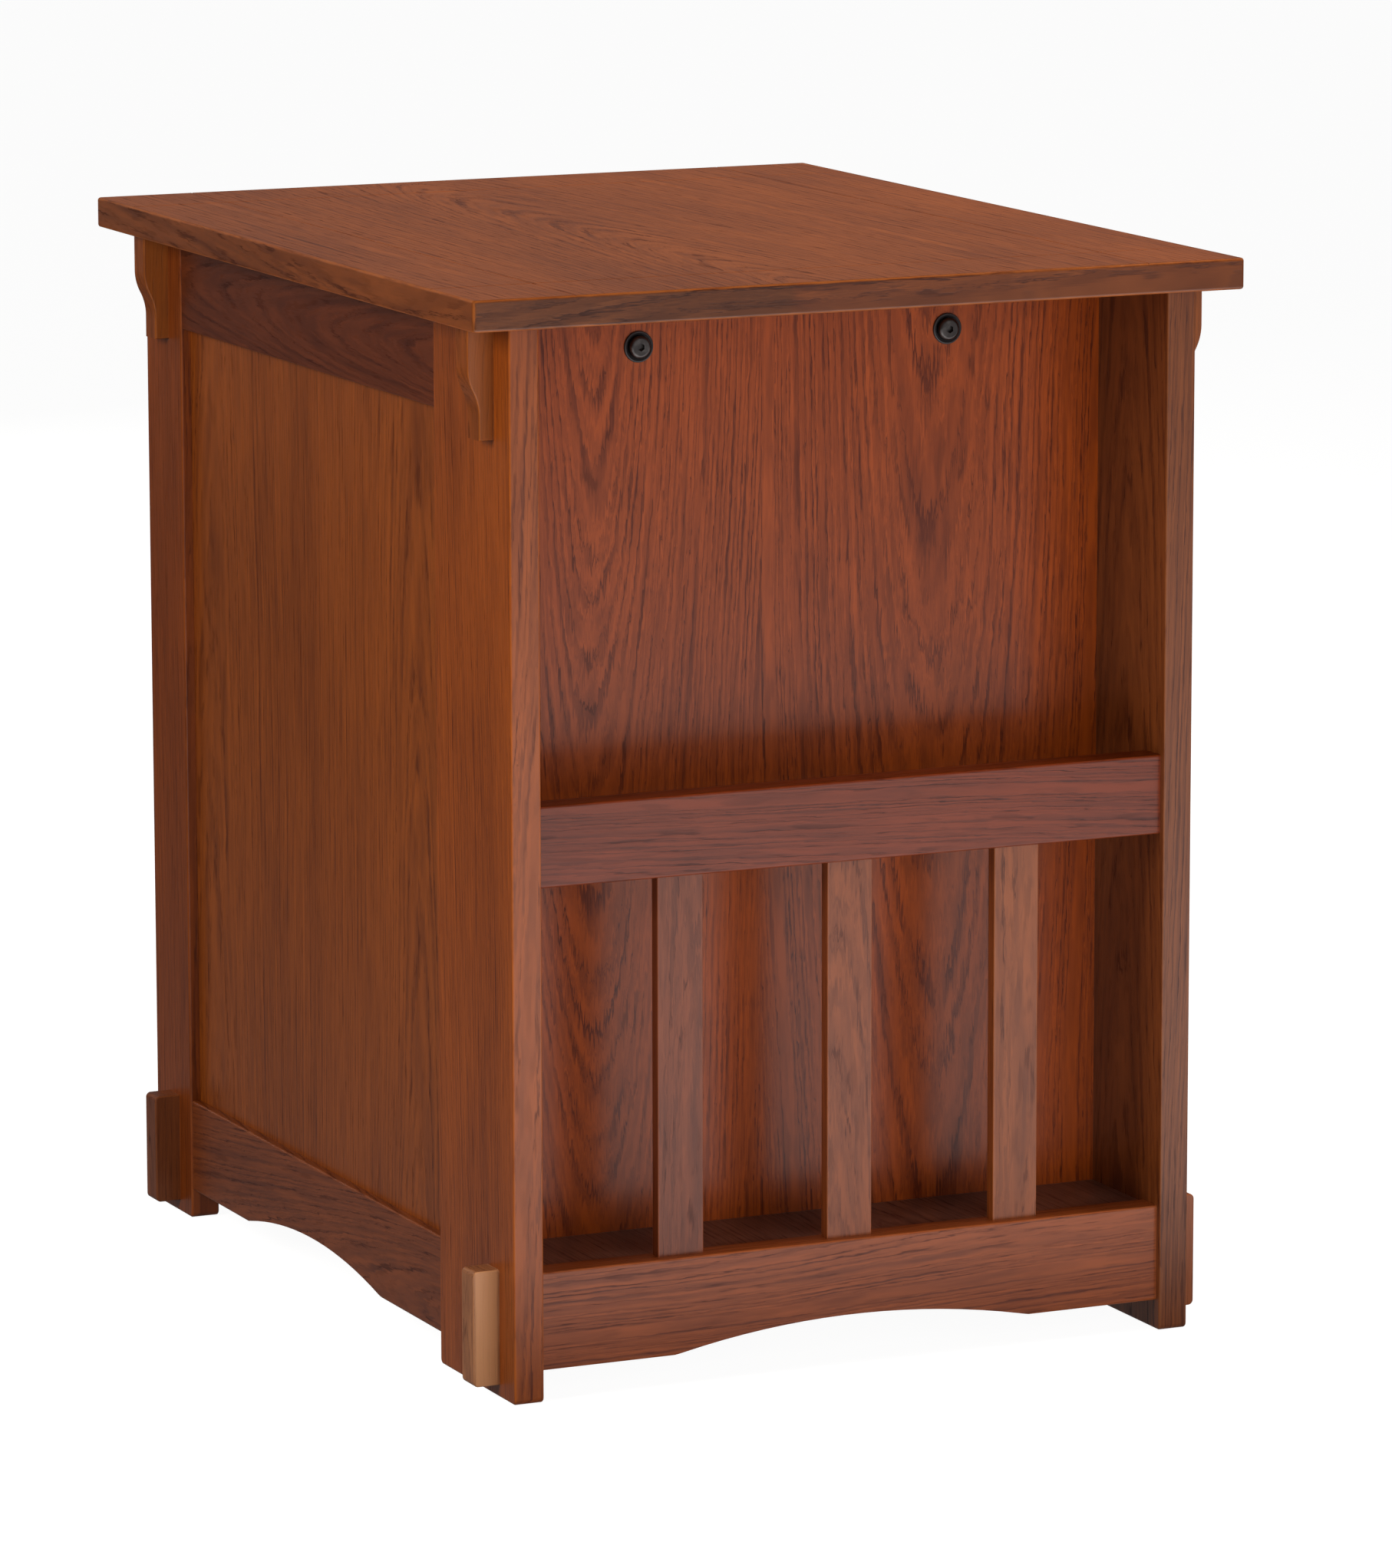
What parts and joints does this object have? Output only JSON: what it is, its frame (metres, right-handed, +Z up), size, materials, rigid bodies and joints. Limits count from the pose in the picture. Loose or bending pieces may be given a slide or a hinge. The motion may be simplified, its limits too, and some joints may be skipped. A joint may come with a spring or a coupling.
{
  "type": "side cabinet with book rack",
  "caption": "Mission oak side cabinet: panelled sides, overhanging scored top, slatted book rack across the back, drawer over a hinged door in front",
  "frame": {"origin": "on the floor, under the middle of the top", "axes": "+Z up, +Y towards the drawer and door, -Y towards the open book rack, +X to the right when facing the rack"},
  "size_m": [0.465, 0.571, 0.61],
  "materials": {
    "stained_oak": "satin brown mission stain under lacquer",
    "drawer_wood": "clear lacquered pale poplar and beech",
    "black_plastic": "moulded black",
    "black_steel": "black oxide steel",
    "aged_brass": "aged satin brass",
    "zinc_steel": "zinc plated"
  },
  "bodies": {
    "case": {"back_bolts": "black_steel", "back_panel": "stained_oak", "back_stretcher": "drawer_wood", "bolt_cups": "black_plastic", "bottom_board": "stained_oak", "bottom_cleats": "drawer_wood", "dowels": "drawer_wood", "drawer_kickers": "drawer_wood", "drawer_runners": "drawer_wood", "front_lower_rail": "stained_oak", "front_middle_rail": "stained_oak", "front_top_rail": "stained_oak", "hinge_case_leaves": "aged_brass", "hinge_pins": "aged_brass", "left_front_corbel": "stained_oak", "left_front_foot_block": "stained_oak", "left_front_leg": "stained_oak", "left_lower_rail": "stained_oak", "left_rack_corbel": "stained_oak", "left_rack_foot_block": "stained_oak", "left_rack_leg": "stained_oak", "left_side_panel": "stained_oak", "left_upper_rail": "stained_oak", "magnetic_catch": "black_plastic", "rack_lower_rail": "stained_oak", "rack_slat_1": "stained_oak", "rack_slat_2": "stained_oak", "rack_slat_3": "stained_oak", "rack_upper_rail": "stained_oak", "right_front_corbel": "stained_oak", "right_front_foot_block": "stained_oak", "right_front_leg": "stained_oak", "right_lower_rail": "stained_oak", "right_rack_corbel": "stained_oak", "right_rack_foot_block": "stained_oak", "right_rack_leg": "stained_oak", "right_side_panel": "stained_oak", "right_upper_rail": "stained_oak", "shelf": "stained_oak", "shelf_pins": "zinc_steel", "top_board": "stained_oak", "top_screws": "zinc_steel"},
    "drawer": {"drawer_back": "drawer_wood", "drawer_bottom": "drawer_wood", "drawer_front": "stained_oak", "drawer_knob": "stained_oak", "drawer_knob_screw": "zinc_steel", "drawer_left_side": "drawer_wood", "drawer_right_side": "drawer_wood", "drawer_stop": "drawer_wood"},
    "door": {"door_bottom_rail": "stained_oak", "door_free_stile": "stained_oak", "door_hinge_stile": "stained_oak", "door_knob": "stained_oak", "door_knob_screw": "zinc_steel", "door_panel": "stained_oak", "door_top_rail": "stained_oak", "hinge_door_leaves": "aged_brass", "strike_plate": "zinc_steel"}
  },
  "joints": [
    {"name": "drawer_slide", "type": "slide", "parent": "case", "child": "drawer", "axis": [0, 1, 0], "range_m": [0, 0.335]},
    {"name": "door_swing", "type": "hinge", "parent": "case", "child": "door", "pos_m": [-0.1878, 0.271, 0.26125], "axis": [0, 0, 1], "range_deg": [0, 110]}
  ]
}
